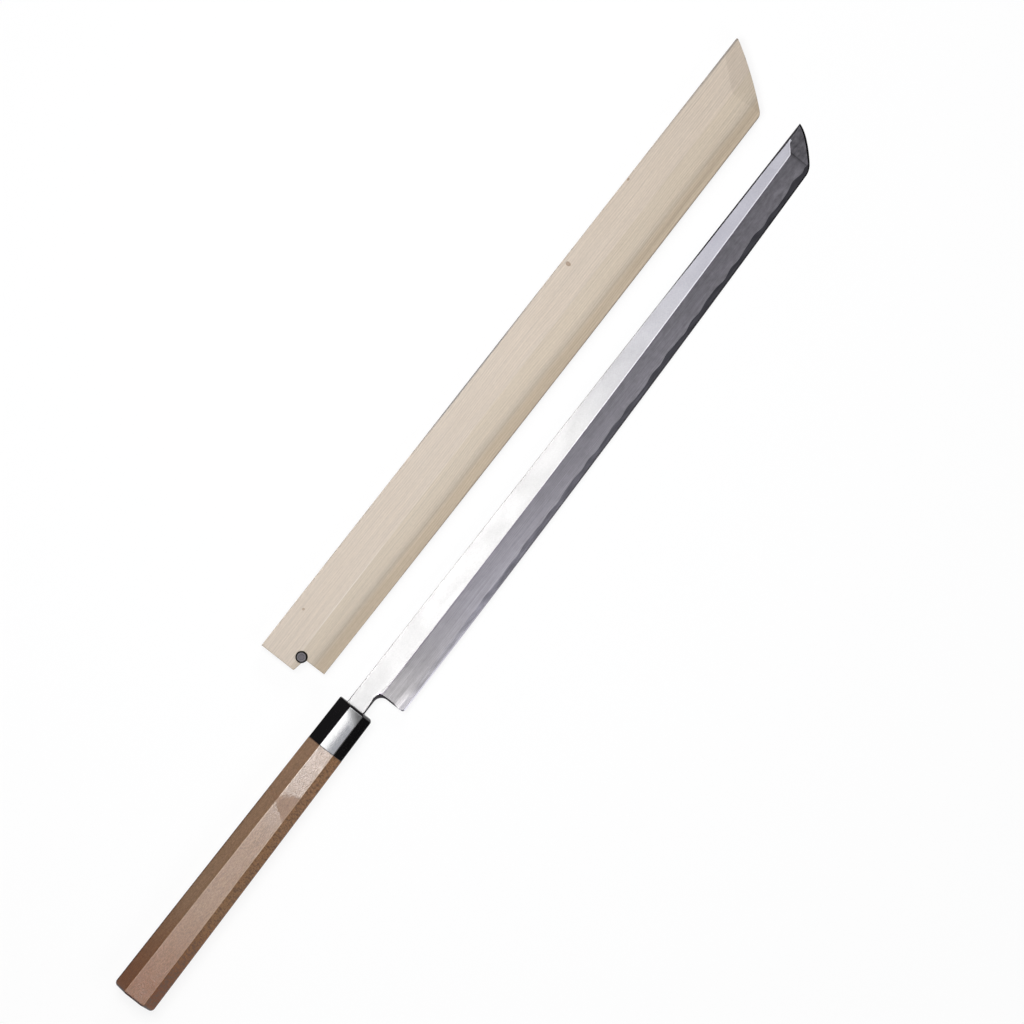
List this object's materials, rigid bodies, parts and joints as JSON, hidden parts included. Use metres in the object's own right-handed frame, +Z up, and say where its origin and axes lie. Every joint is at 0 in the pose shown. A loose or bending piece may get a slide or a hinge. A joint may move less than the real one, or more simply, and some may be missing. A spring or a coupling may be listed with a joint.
{
  "type": "tuna knife",
  "caption": "Long single-bevel tuna slicing knife with an octagonal wooden handle and black horn ferrule, lying beside its wooden sheath with a locking pin.",
  "frame": {"origin": "middle of the footprint of knife and sheath, on the table that they lie on", "axes": "+X along the knife from the butt to the tip, +Y across from the cutting edge to the spine, +Z up from the table"},
  "size_m": [0.8586, 0.1164, 0.0333],
  "materials": {
    "soft_iron": "finely ground and brushed",
    "hard_steel": "polished",
    "horn": "polished black horn",
    "walnut": "sanded and waxed",
    "magnolia": "bare, planed",
    "resin": "matt filler"
  },
  "bodies": {
    "knife": {"blade_iron": "soft_iron", "edge_steel": "hard_steel", "ferrule": "horn", "tang_seal": "resin", "handle": "walnut", "handle_dowel": "magnolia"},
    "sheath": {"sheath_front_board": "magnolia", "sheath_back_board": "magnolia", "sheath_spine_strip": "magnolia", "sheath_edge_strip": "magnolia", "sheath_nose_block": "magnolia"},
    "pin": {"sheath_pin": "horn"}
  },
  "joints": [
    {"name": "sheath_draw", "type": "slide", "parent": "knife", "child": "sheath", "axis": [1, 0, 0], "range_m": [0, 0.57]},
    {"name": "pin_pull", "type": "slide", "parent": "sheath", "child": "pin", "axis": [0, 0, 1], "range_m": [0, 0.02]}
  ]
}
